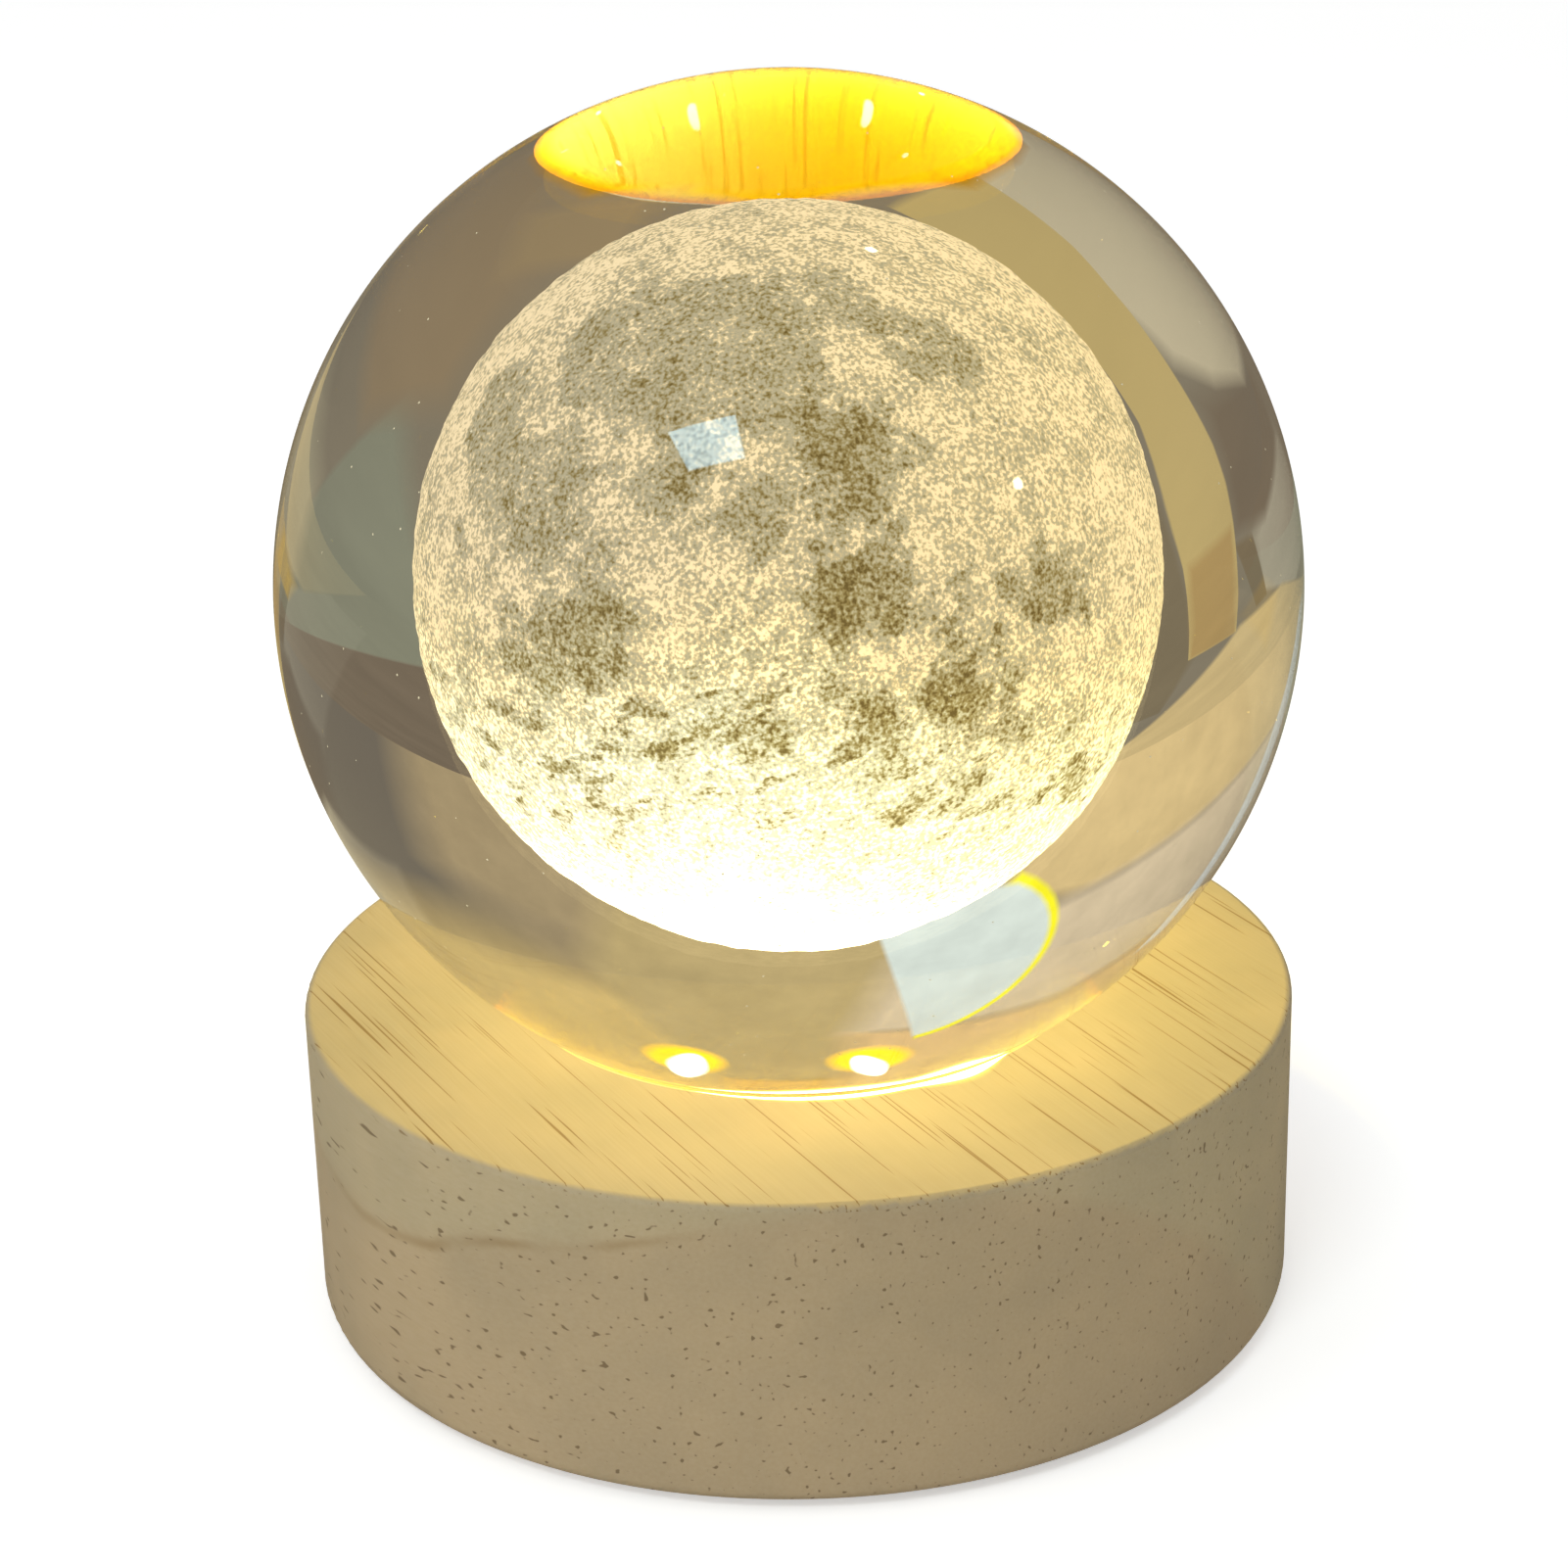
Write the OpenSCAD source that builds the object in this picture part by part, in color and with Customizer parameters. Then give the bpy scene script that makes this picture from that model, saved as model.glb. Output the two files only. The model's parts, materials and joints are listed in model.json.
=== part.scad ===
// Crystal ball lamp: a glass ball with an engraved moon, resting in the seat of a round wooden base.
// Origin: centre of the circle that the feet stand on. +Z is up, the rear ports face +Y.

/* [Ball] */
// Diameter of the glass ball
ball_d = 80; // [76:1:84]
// Diameter of the engraved moon at the ball's centre
moon_d = 39; // [30:0.2:46]

/* [Base] */
// How far the base's side stands out beyond the ball, all round
base_margin = 0; // [0:0.5:10]
// Height of the wooden base
base_h = 25; // [24:0.5:32]
// Rounding of the base's top edge
top_edge = 0.6; // [0.3:0.1:2]
// Rounding of the base's bottom edge
bottom_edge = 1.2; // [0.4:0.1:2]

/* [Seat] */
// Diameter of the seat's mouth in the top face
seat_d = 45; // [40:0.5:46]
// Width of the turned band that carries the ball
seat_band = 1.6; // [1:0.1:2.4]
// Wood left between the recess and the cavity
floor_t = 4.2; // [4.1:0.1:4.8]

/* [Cavity and cover] */
// Diameter of the cavity that holds the circuit board
cavity_d = 56; // [50:1:58]
// Height of the cavity's ceiling above the base's bottom face
cavity_h = 9.8; // [9.4:0.1:10.4]
// Diameter of the bottom cover
cover_d = 70; // [68:0.5:72]
// Thickness of the bottom cover
cover_t = 1.8; // [1.5:0.1:2]
// How far the cover lies inside the base's bottom face
cover_inset = 0.2; // [0:0.1:0.5]
// Diameter of a foot
foot_d = 9; // [6:0.5:10]
// Height of a foot
foot_h = 1; // [0.6:0.1:2]
// Diameter of the circle of feet
foot_circle_d = 50; // [40:1:54]

/* [Light] */
// Diameter of the circuit board
board_d = 36; // [34:0.5:42]
// Thickness of the circuit board
board_t = 1.6; // [1:0.1:2]
// Diameter of an LED's lens
led_d = 4.8; // [3:0.1:5]
// Height of an LED above the board
led_h = 4.1; // [3.8:0.1:4.6]
// Diameter of an LED's flange
led_flange_d = 5.6; // [5.4:0.1:6]
// Height of an LED's flange
led_flange_h = 0.8; // [0.5:0.1:1.2]
// Diameter of the circle of LEDs
led_circle_d = 20; // [16:0.5:26]
// Length, width and height of a chip resistor
resistor_size = [3.2, 1.6, 0.6];
// Distance of the resistors from the board's centre
resistor_r = 9; // [7:0.5:10]
// Diameter of a solder joint
solder_d = 2.4; // [1.8:0.1:3]
// Height of a solder joint
solder_h = 0.8; // [0.5:0.1:1]

/* [Screws] */
// Shank diameter of a board screw
board_screw_d = 2.2; // [2:0.1:2.5]
// Length of a board screw under its head
board_screw_l = 5; // [4:0.1:5.2]
// Head diameter of a board screw
board_head_d = 4.2; // [3.6:0.1:4.6]
// Head height of a board screw
board_head_h = 1.3; // [1:0.1:1.6]
// Distance between the two board screws
board_screw_pitch = 29; // [26:0.5:30]
// Shank diameter of a cover screw
cover_screw_d = 2.4; // [2:0.1:3]
// Head diameter of a cover screw
cover_head_d = 4.6; // [4:0.1:5]
// Length of a cover screw
cover_screw_l = 9; // [6:0.5:12]
// Diameter of the circle of cover screws
cover_screw_circle_d = 63; // [62:0.5:64]
// Width of a screw's cross recess
cross_w = 0.6; // [0.4:0.1:0.7]
// Depth of a screw's cross recess
cross_depth = 0.7; // [0.4:0.1:0.8]

/* [Rear ports] */
// Height of the ports' axis above the base's bottom face
port_h = 7.4; // [7:0.1:8]
// Angle between the switch and the power inlet
inlet_angle = 28; // [24:1:34]
// Diameter of the pocket around a port
pocket_d = 11; // [10.6:0.1:12]
// Depth of the pocket, from the base's side
pocket_depth = 2.8; // [2.6:0.1:4]
// Diameter of a port's flange
flange_d = 10; // [9:0.1:10.4]
// Thickness of a port's flange
flange_t = 1; // [0.8:0.1:1.2]
// Diameter of a port's barrel
barrel_d = 8; // [7.6:0.1:8.2]
// Length of a port's barrel behind its flange
barrel_l = 12; // [11.5:0.1:14]
// Length of a terminal behind the barrel
terminal_l = 3; // [2:0.1:4]
// Bore that takes the plug
plug_d = 5.6; // [5.2:0.1:6]
// Depth of the plug's bore
plug_l = 9.5; // [8:0.1:10]
// Diameter of the inlet's centre pin
pin_d = 2.1; // [1.8:0.1:2.3]
// How far the centre pin's tip lies inside the flange
pin_inset = 1.2; // [0.5:0.1:2]
// Width of the inlet's side contact
contact_w = 1.6; // [1:0.1:2]
// Thickness of the inlet's side contact
contact_t = 0.3; // [0.2:0.05:0.4]

/* [Switch] */
// Diameter of the push button
button_d = 6.1; // [5.6:0.1:6.4]
// Length of the button's head
button_l = 6; // [5.8:0.1:6.4]
// How far the button stands out of its flange
button_proud = 1.7; // [1.6:0.1:1.7]
// Travel of the button
button_travel = 1.5; // [1:0.1:1.6]
// Length of the return spring when the button is pressed home
spring_closed_l = 1.7; // [1.6:0.05:1.8]
// Diameter of the button's stem
stem_d = 2.5; // [2:0.1:2.8]
// Thickness of the wall that the stem passes through
web_t = 1.5; // [1.2:0.1:1.6]
// Diameter of the chamber behind that wall
chamber_d = 6; // [5.6:0.1:6.4]
// Diameter of the clip on the stem
clip_d = 4.6; // [4:0.1:5]
// Thickness of the clip
clip_t = 0.6; // [0.4:0.1:0.6]
// Thickness of the contact block that closes the chamber
block_t = 1.4; // [1:0.1:1.5]
// Diameter of a switch terminal
terminal_d = 1; // [0.8:0.1:1.2]
// Distance between the switch terminals
terminal_pitch = 3.2; // [3:0.1:3.6]
// Wire diameter of the return spring
spring_wire_d = 0.35; // [0.25:0.05:0.4]
// Mean diameter of the return spring
spring_d = 4.4; // [4:0.1:5]
// Turns of the return spring
spring_turns = 3.5; // [2.5:0.5:4]

/* [Wires] */
// Diameter of a wire
wire_d = 1.2; // [0.8:0.1:1.4]
// Radius at which the solder joints lie on the board
solder_r = 14.2; // [13:0.1:14.5]

/* [Fits] */
// Gap between the ball and its seat
ball_gap = 0.1; // [0.05:0.05:0.2]
// Gap around pieces that stand still in their pockets
loose_gap = 0.2; // [0.1:0.05:0.3]
// Radial gap around pieces that slide
slide_gap = 0.05; // [0.03:0.01:0.1]
// Radial gap around screws and pressed pins
close_gap = 0.03; // [0.02:0.01:0.05]

/* [Hidden] */
$fn = 96;

// Cuts run this far past the face that they open
past = 1;

// Heights, from the feet upwards
cover_z = foot_h;
base_z = cover_z - cover_inset;
base_top_z = base_z + base_h;
ledge_z = cover_z + cover_t;
ceiling_z = base_z + cavity_h;
recess_z = ceiling_z + floor_t;
board_z = ceiling_z - board_t;
port_z = base_z + port_h;

// The base is turned to the ball's own diameter, and its margin
base_d = ball_d + 2 * base_margin;

// The ball's centre stands where its gap to the seat's mouth is even all round
seat_sphere_r = ball_d / 2 + ball_gap;
ball_z = base_top_z + sqrt(pow(seat_sphere_r, 2) - pow(seat_d / 2, 2));
recess_d = seat_d - 2 * seat_band;
recess_depth = base_top_z - recess_z;

// Radial distances along a port's axis, from the lamp's own axis
pocket_r = base_d / 2 - pocket_depth;
port_face_r = pocket_r + flange_t;
barrel_end_r = pocket_r - barrel_l;
terminal_end_r = barrel_end_r - terminal_l;
button_face_r = port_face_r + button_proud;
button_back_r = button_face_r - button_l;
web_front_r = button_back_r - button_travel - spring_closed_l;
web_rear_r = web_front_r - web_t;
block_front_r = barrel_end_r + block_t;
clip_gap = 0.1;
clip_front_r = web_rear_r - clip_gap;
stem_end_r = clip_front_r - clip_t - clip_gap;

// The side contact's inner face, so that its edges stay within the plug's bore
contact_x = sqrt(pow(plug_d / 2, 2) - pow(contact_w / 2, 2)) - contact_t - close_gap;

// Bends of the wires; the red one's far end bends wider, to stay clear of the white one
wire_slack = 4;
red_slack = 1.3 * wire_slack;
wire_drop = 4;
solder_angles = [20, 110];

// Share of a screw head's width that its cross recess takes
cross_share = 0.6;

function unit(v) = v / norm(v);

// Places an LED, resistor or foot at an angle on a circle; 0 is +X and 90 is the rear
module at_angle(angle, radius) {
    rotate([0, 0, angle]) translate([radius, 0, 0]) children();
}

// Turns a shape drawn along +Z so that it lies along a port's axis, pointing out of the base
module at_port(angle) {
    rotate([0, 0, -angle]) translate([0, 0, port_z]) rotate([-90, 0, 0]) children();
}

// A ring or disc between two radial distances along a port's axis
module port_disc(d, from, to) {
    translate([0, 0, from]) cylinder(d = d, h = to - from);
}

// What is cut from the corner of a square outline to round it
module corner_cut(r) {
    difference() {
        square(r + past);
        circle(r);
    }
}

// Half of the base's outline
module base_outline() {
    difference() {
        square([base_d / 2, base_h]);
        translate([base_d / 2 - top_edge, base_h - top_edge]) corner_cut(top_edge);
        translate([base_d / 2 - bottom_edge, bottom_edge]) mirror([0, 1]) corner_cut(bottom_edge);
    }
}

module port_pocket(angle) {
    at_port(angle) {
        port_disc(pocket_d, pocket_r, base_d / 2 + past);
        port_disc(barrel_d + 2 * loose_gap, min(cavity_d / 2, terminal_end_r) - past, pocket_r + past);
    }
}

module led_hole() {
    cylinder(d = led_d + 2 * loose_gap, h = floor_t + 2 * past);
    cylinder(d = led_flange_d + 2 * loose_gap, h = led_flange_h + loose_gap + past);
}

module wood_base() {
    color("burlywood") difference() {
        translate([0, 0, base_z]) rotate_extrude() base_outline();
        translate([0, 0, ball_z]) sphere(r = seat_sphere_r);
        translate([0, 0, recess_z]) cylinder(d = recess_d, h = recess_depth + past);
        translate([0, 0, base_z - past]) cylinder(d = cavity_d, h = ceiling_z - base_z + past);
        translate([0, 0, base_z - past])
            cylinder(d = cover_d + 2 * loose_gap, h = ledge_z - base_z + past);
        for (angle = [45 : 90 : 315])
            at_angle(angle, led_circle_d / 2) translate([0, 0, ceiling_z - past]) led_hole();
        for (angle = [0, 180])
            at_angle(angle, board_screw_pitch / 2) translate([0, 0, board_z])
                cylinder(d = board_screw_d + 2 * close_gap, h = board_screw_l + loose_gap);
        for (angle = [45 : 90 : 315])
            at_angle(angle, cover_screw_circle_d / 2) translate([0, 0, cover_z])
                cylinder(d = cover_screw_d + 2 * close_gap, h = cover_screw_l + loose_gap);
        port_pocket(0);
        port_pocket(inlet_angle);
    }
}

// The glass round the engraving; the engraved core fills its middle
module crystal_ball() {
    color("lightcyan", 0.35) translate([0, 0, ball_z]) difference() {
        sphere(d = ball_d);
        sphere(d = moon_d);
    }
}

module engraved_moon() {
    color("wheat") translate([0, 0, ball_z]) sphere(d = moon_d - 2 * close_gap);
}

module led_board() {
    color("ivory") translate([0, 0, board_z]) difference() {
        cylinder(d = board_d, h = board_t);
        for (angle = [0, 180])
            at_angle(angle, board_screw_pitch / 2) translate([0, 0, -past])
                cylinder(d = board_screw_d + 2 * close_gap, h = board_t + 2 * past);
    }
}

// A round LED: flange, straight lens wall and domed tip, all above the board
module led(angle) {
    color("gold") at_angle(angle, led_circle_d / 2) translate([0, 0, ceiling_z]) {
        cylinder(d = led_flange_d, h = led_flange_h);
        cylinder(d = led_d, h = led_h - led_d / 2);
        intersection() {
            translate([0, 0, led_h - led_d / 2]) sphere(d = led_d);
            cylinder(d = led_flange_d, h = led_h + past);
        }
    }
}

module resistor(angle) {
    color("black") at_angle(angle, resistor_r)
        translate([0, 0, board_z - resistor_size.z / 2])
            rotate([0, 0, 90]) cube(resistor_size, center = true);
}

module solder_joints() {
    color("silver") for (angle = solder_angles)
        at_angle(angle, solder_r) translate([0, 0, board_z - solder_h])
            cylinder(d1 = wire_d, d2 = solder_d, h = solder_h);
}

// Cross recess of a screw whose head faces down at z = 0
module cross_recess(head_d) {
    width = cross_share * head_d;
    for (turn = [0, 90])
        rotate([0, 0, turn]) translate([-width / 2, -cross_w / 2, -past])
            cube([width, cross_w, cross_depth + past]);
}

module board_screws() {
    color("gray") for (angle = [0, 180])
        at_angle(angle, board_screw_pitch / 2) translate([0, 0, board_z - board_head_h]) difference() {
            union() {
                cylinder(d = board_head_d, h = board_head_h);
                cylinder(d = board_screw_d, h = board_head_h + board_screw_l);
            }
            cross_recess(board_head_d);
        }
}

// Outline of a countersunk screw; its head's rim lies in the cover's lower face
module cover_screw_outline(gap) {
    head_h = (cover_head_d - cover_screw_d) / 2;
    polygon([[0, 0], [cover_head_d / 2 + gap, 0], [cover_screw_d / 2 + gap, head_h],
        [cover_screw_d / 2 + gap, cover_screw_l], [0, cover_screw_l]]);
}

module cover_screws() {
    color("gray") for (angle = [45 : 90 : 315])
        at_angle(angle, cover_screw_circle_d / 2) translate([0, 0, cover_z]) difference() {
            rotate_extrude() cover_screw_outline(0);
            cross_recess(cover_head_d);
        }
}

module bottom_cover() {
    color("dimgray") translate([0, 0, cover_z]) difference() {
        cylinder(d = cover_d, h = cover_t);
        for (angle = [45 : 90 : 315])
            at_angle(angle, cover_screw_circle_d / 2) rotate_extrude() cover_screw_outline(close_gap);
    }
}

// A moulded foot with a bevelled lower edge
module foot(angle) {
    bevel = foot_h * 0.3;
    color("gray") at_angle(angle, foot_circle_d / 2) {
        cylinder(d1 = foot_d - 2 * bevel, d2 = foot_d, h = bevel);
        translate([0, 0, bevel]) cylinder(d = foot_d, h = foot_h - bevel);
    }
}

// Flange and barrel that both rear ports share
module port_body() {
    port_disc(flange_d, pocket_r, port_face_r);
    port_disc(barrel_d, barrel_end_r, pocket_r + flange_t / 2);
}

// The side contact's strip, made thicker by a gap where it is cut from the housing
module contact_strip(from, to, gap) {
    translate([contact_x - gap, -contact_w / 2 - gap, from])
        cube([contact_t + 2 * gap, contact_w + 2 * gap, to - from]);
}

module power_socket_housing() {
    web_r = port_face_r - plug_l;
    color("black") at_port(inlet_angle) difference() {
        port_body();
        port_disc(plug_d, web_r, port_face_r + past);
        port_disc(pin_d + 2 * close_gap, barrel_end_r - past, port_face_r);
        contact_strip(barrel_end_r - past, web_r + past, close_gap);
    }
}

module power_socket_pin() {
    tip_r = port_face_r - pin_inset;
    color("silver") at_port(inlet_angle) {
        port_disc(pin_d, terminal_end_r, tip_r - pin_d / 2);
        translate([0, 0, tip_r - pin_d / 2]) sphere(d = pin_d);
    }
}

module power_socket_contact() {
    color("silver") at_port(inlet_angle)
        contact_strip(terminal_end_r, port_face_r - pin_inset, 0);
}

module switch_housing() {
    color("black") at_port(0) difference() {
        port_body();
        port_disc(button_d + 2 * slide_gap, web_front_r, port_face_r + past);
        port_disc(stem_d + 2 * slide_gap, barrel_end_r, port_face_r);
        port_disc(chamber_d, barrel_end_r - past, web_rear_r);
    }
}

module switch_button() {
    edge = 0.5;
    color("gainsboro") at_port(0) {
        port_disc(button_d, button_back_r, button_face_r - edge);
        translate([0, 0, button_face_r - edge])
            cylinder(d1 = button_d, d2 = button_d - 2 * edge, h = edge);
        port_disc(stem_d, stem_end_r, button_back_r + edge);
    }
}

module button_clip() {
    color("silver") at_port(0) difference() {
        port_disc(clip_d, clip_front_r - clip_t, clip_front_r);
        port_disc(stem_d + 2 * close_gap, clip_front_r - clip_t - past, clip_front_r + past);
    }
}

module terminal_places() {
    for (side = [-1, 1]) translate([side * terminal_pitch / 2, 0, 0]) children();
}

module switch_contact_block() {
    color("black") at_port(0) difference() {
        port_disc(chamber_d - 2 * close_gap, barrel_end_r, block_front_r);
        terminal_places()
            port_disc(terminal_d + 2 * close_gap, barrel_end_r - past, block_front_r + past);
    }
}

module switch_terminals() {
    color("gold") at_port(0) terminal_places()
        port_disc(terminal_d, terminal_end_r, block_front_r);
}

// Sides of a swept tube's cross-section
tube_sides = 8;

// Carries a normal along a row of tangents without twisting it
function carried(tangents, i, normal) =
    i >= len(tangents) ? [] :
    let (n = unit(normal - (normal * tangents[i]) * tangents[i]))
        concat([n], carried(tangents, i + 1, n));

// A tube round the given points; each ring is square to its tangent
module tube(points, tangents, d, first_normal) {
    rings = len(points);
    normals = carried(tangents, 0, first_normal);
    corners = [for (i = [0 : rings - 1], k = [0 : tube_sides - 1])
        let (a = 360 * k / tube_sides, side = cross(tangents[i], normals[i]))
            points[i] + d / 2 * (cos(a) * normals[i] + sin(a) * side)];
    walls = [for (i = [0 : rings - 2], k = [0 : tube_sides - 1])
        let (next = (k + 1) % tube_sides, a = i * tube_sides, b = (i + 1) * tube_sides)
            each [[a + k, b + k, b + next], [a + k, b + next, a + next]]];
    start = [[for (k = [0 : tube_sides - 1]) k]];
    end = [[for (k = [tube_sides - 1 : -1 : 0]) (rings - 1) * tube_sides + k]];
    polyhedron(corners, concat(walls, start, end), convexity = 6);
}

// The return spring: a helix between the web and the button's back
module switch_spring() {
    steps = 12;
    count = spring_turns * steps;
    low = web_front_r + spring_wire_d / 2 + close_gap;
    high = button_back_r - spring_wire_d / 2 - close_gap;
    rise = (high - low) / (spring_turns * PI * spring_d);
    angles = [for (i = [0 : count]) 360 * i / steps];
    points = [for (i = [0 : count])
        [spring_d / 2 * cos(angles[i]), spring_d / 2 * sin(angles[i]), low + (high - low) * i / count]];
    tangents = [for (a = angles) unit([-sin(a), cos(a), rise])];
    color("silver") at_port(0) tube(points, tangents, spring_wire_d, [1, 0, 0]);
}

// A point, and the direction, on a smooth wire from c[0] to c[3]
function wire_point(c, t) =
    pow(1 - t, 3) * c[0] + 3 * pow(1 - t, 2) * t * c[1] + 3 * (1 - t) * t * t * c[2] + pow(t, 3) * c[3];
function wire_slope(c, t) =
    unit(pow(1 - t, 2) * (c[1] - c[0]) + 2 * (1 - t) * t * (c[2] - c[1]) + t * t * (c[3] - c[2]));

module wire(c, first_normal) {
    steps = 14;
    tube([for (i = [0 : steps]) wire_point(c, i / steps)],
        [for (i = [0 : steps]) wire_slope(c, i / steps)], wire_d, first_normal);
}

// The end of a port's terminal that lies beside the port's axis by x, and what lies inwards of it
function terminal_end(angle, x, inwards) =
    let (r = terminal_end_r - inwards)
        [r * sin(angle) + x * cos(angle), r * cos(angle) - x * sin(angle), port_z];
// The lower face of a solder joint, and what lies below it
function solder_end(i, below) =
    [solder_r * cos(solder_angles[i]), solder_r * sin(solder_angles[i]), board_z - solder_h - below];

// Inlet pin to switch
module red_wire() {
    color("red") wire([terminal_end(inlet_angle, 0, 0), terminal_end(inlet_angle, 0, wire_slack),
        terminal_end(0, terminal_pitch / 2, red_slack), terminal_end(0, terminal_pitch / 2, 0)],
        [0, 0, 1]);
}

// Switch to board
module white_wire() {
    color("white") wire([terminal_end(0, -terminal_pitch / 2, 0),
        terminal_end(0, -terminal_pitch / 2, wire_slack / 2),
        solder_end(1, wire_drop), solder_end(1, 0)], [1, 0, 0]);
}

// Inlet contact to board
module black_wire() {
    x = contact_x + contact_t / 2;
    color("black") wire([terminal_end(inlet_angle, x, 0), terminal_end(inlet_angle, x, wire_slack / 2),
        solder_end(0, wire_drop), solder_end(0, 0)], [1, 0, 0]);
}

wood_base();
crystal_ball();
engraved_moon();
led_board();
led(225);  // led_front_left
led(315);  // led_front_right
led(135);  // led_rear_left
led(45);  // led_rear_right
resistor(270);  // resistor_front
resistor(90);  // resistor_rear
resistor(180);  // resistor_left
resistor(0);  // resistor_right
solder_joints();
board_screws();
power_socket_housing();
power_socket_pin();
power_socket_contact();
switch_housing();
switch_spring();
switch_contact_block();
switch_terminals();
switch_button();
button_clip();
red_wire();
white_wire();
black_wire();
bottom_cover();
cover_screws();
foot(270);  // foot_front
foot(90);  // foot_rear
foot(180);  // foot_left
foot(0);  // foot_right
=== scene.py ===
# Crystal ball lamp: the looks of a glass ball with an engraved moon, on a lit base of turned wood.
# Everything is in metres in the lamp's own frame: +Z is up, the viewer is at -Y, the ports are at +Y.

import json
import math

import bmesh
import bpy
from mathutils import Matrix, Vector, noise


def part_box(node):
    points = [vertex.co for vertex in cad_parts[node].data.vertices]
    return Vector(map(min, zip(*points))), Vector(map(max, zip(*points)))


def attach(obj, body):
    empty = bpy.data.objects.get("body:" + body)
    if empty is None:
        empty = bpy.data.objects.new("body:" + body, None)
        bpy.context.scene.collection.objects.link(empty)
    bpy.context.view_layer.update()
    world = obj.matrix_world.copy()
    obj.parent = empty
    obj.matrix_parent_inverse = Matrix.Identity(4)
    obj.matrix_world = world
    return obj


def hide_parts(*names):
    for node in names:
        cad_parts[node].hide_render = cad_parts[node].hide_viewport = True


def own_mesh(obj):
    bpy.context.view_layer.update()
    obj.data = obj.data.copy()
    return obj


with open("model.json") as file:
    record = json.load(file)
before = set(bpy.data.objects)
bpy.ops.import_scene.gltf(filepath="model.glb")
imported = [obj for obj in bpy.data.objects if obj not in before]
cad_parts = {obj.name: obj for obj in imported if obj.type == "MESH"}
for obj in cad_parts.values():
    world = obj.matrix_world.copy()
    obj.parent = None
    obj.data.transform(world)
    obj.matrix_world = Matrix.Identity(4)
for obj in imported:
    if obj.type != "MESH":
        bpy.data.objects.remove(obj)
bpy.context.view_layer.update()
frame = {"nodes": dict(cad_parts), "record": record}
scene = bpy.context.scene

# Sizes and places that the pieces share
MM = 0.001
BALL_LOW, BALL_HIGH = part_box("crystal_ball")
BALL_AT = (BALL_LOW + BALL_HIGH) / 2
BALL_R = (BALL_HIGH.z - BALL_LOW.z) / 2
MOON_LOW, MOON_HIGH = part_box("engraved_moon")
MOON_R = (MOON_HIGH.z - MOON_LOW.z) / 2
MOON_AT = BALL_AT + Vector((0, 0, 0.6)) * MM
BASE_LOW, BASE_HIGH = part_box("wood_base")
SEAT_R = 22.5 * MM
CAVITY_TOP = BASE_LOW.z + 9.8 * MM

# Crown glass bends light by this much
GLASS_IOR = 1.517


def linear(code):
    """An sRGB hex colour as linear RGBA."""
    shares = [int(code[i:i + 2], 16) / 255 for i in (1, 3, 5)]
    return tuple(s / 12.92 if s <= 0.04045 else ((s + 0.055) / 1.055) ** 2.4 for s in shares) + (1,)


def put(tree, kind, feeds=None, stops=None, **settings):
    """Adds one shader node. A feed is a value, a node's first output or a socket; stops fill a ramp."""
    node = tree.nodes.new("ShaderNode" + kind)
    for name, value in settings.items():
        setattr(node, name, value)
    for socket, feed in (feeds or {}).items():
        source = feed.outputs[0] if isinstance(feed, bpy.types.Node) else feed
        if isinstance(source, bpy.types.NodeSocket):
            tree.links.new(source, node.inputs[socket])
        else:
            node.inputs[socket].default_value = source
    for i, (place, colour) in enumerate(stops or []):
        if i > 1:
            node.color_ramp.elements.new(place)
        node.color_ramp.elements[i].position = place
        node.color_ramp.elements[i].color = colour
    return node


def blank(name):
    """A material with an empty node tree."""
    made = bpy.data.materials.new(name)
    made.use_nodes = True
    made.node_tree.nodes.clear()
    return made, made.node_tree


def bare_object(name, data):
    """An object at the origin for a mesh, a light or a camera."""
    made = bpy.data.objects.new(name, data)
    scene.collection.objects.link(made)
    return made


# The camera. Its clip distance is short, because the lamp is small
CAMERA_AT = Vector((0, -277.7, 153.885)) * MM
CAMERA_PITCH = math.radians(21.87)
CAMERA_YAW = math.radians(-0.15)
CAMERA_ROLL = math.radians(-1.4)
LENS_MM = 85.96
CLIP_START = 0.01

forward = Vector((math.sin(CAMERA_YAW) * math.cos(CAMERA_PITCH),
                  math.cos(CAMERA_YAW) * math.cos(CAMERA_PITCH), -math.sin(CAMERA_PITCH)))
level = forward.cross(Vector((0, 0, 1))).normalized()
raised = level.cross(forward)
view_right = level * math.cos(CAMERA_ROLL) + raised * math.sin(CAMERA_ROLL)
view_up = raised * math.cos(CAMERA_ROLL) - level * math.sin(CAMERA_ROLL)

camera = bare_object("camera", bpy.data.cameras.new("camera"))
camera.data.lens = LENS_MM
camera.data.clip_start = CLIP_START
camera.matrix_world = (Matrix.Translation(CAMERA_AT)
                       @ Matrix((view_right, view_up, -forward)).transposed().to_4x4())
scene.camera = camera


# Light: radiance 1 looks white, and the glow's power is in watts
AMBIENT = 0.54
LIGHT_DISTANCE = 0.85
KEY_TOWARD = (view_right * -0.267 + view_up * 0.436 - forward * 0.86).normalized()
KEY_SIZE = (0.27, 0.17)
KEY_RADIANCE = 12
SIDE_TOWARD = Vector((-0.86, -0.42, 0.30)).normalized()
SIDE_SIZE = (0.5, 0.5)
SIDE_RADIANCE = 1.6
GLOW_AT = Vector((6, 0, 74)) * MM
GLOW_R = 6 * MM
GLOW_POWER = 0.134


def background_rays(tree):
    """1 for rays from the camera, and for those that metal or glass has turned; 0 for the rest."""
    path = put(tree, "LightPath")
    mirrored = put(tree, "Math", {0: path.outputs["Is Camera Ray"], 1: path.outputs["Is Glossy Ray"]},
                   operation="MAXIMUM")
    return put(tree, "Math", {0: mirrored, 1: path.outputs["Is Transmission Ray"]},
               operation="MAXIMUM")


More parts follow.
